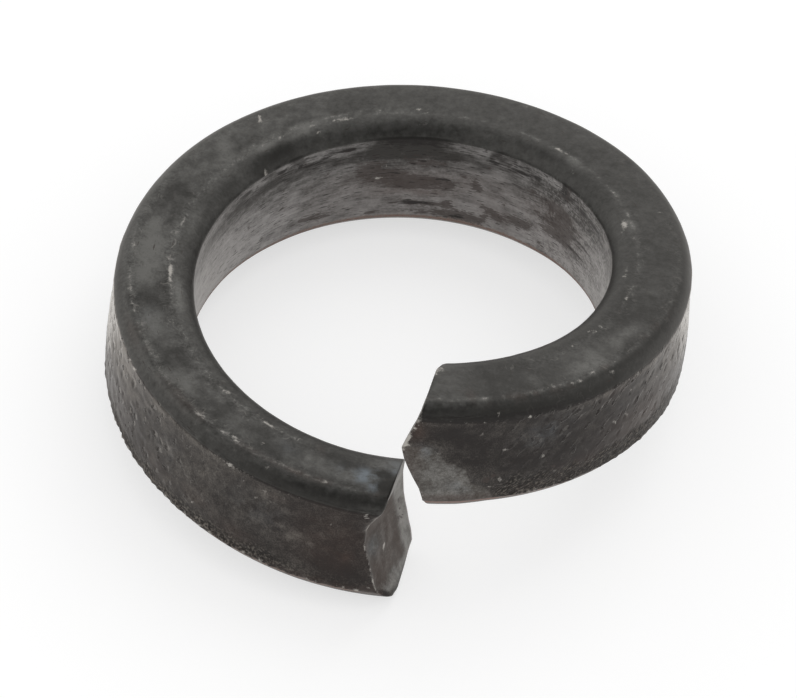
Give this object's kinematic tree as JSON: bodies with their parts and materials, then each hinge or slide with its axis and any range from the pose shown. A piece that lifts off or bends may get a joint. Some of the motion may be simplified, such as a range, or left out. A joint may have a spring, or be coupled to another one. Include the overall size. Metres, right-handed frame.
{
  "type": "spring lock washer",
  "caption": "Split helical spring lock washer of thick section, with rounded shoulders and offset sheared ends.",
  "frame": {"origin": "on the bore axis, at the height of the coil's lowest edge", "axes": "+Z along the bore axis, towards the screw's head; the split faces -Y; the bar rises clockwise seen from +Z"},
  "size_m": [0.0224, 0.0224, 0.0103],
  "materials": {
    "spring_steel": "satin"
  },
  "bodies": {
    "root": {"washer": "spring_steel"}
  },
  "joints": []
}
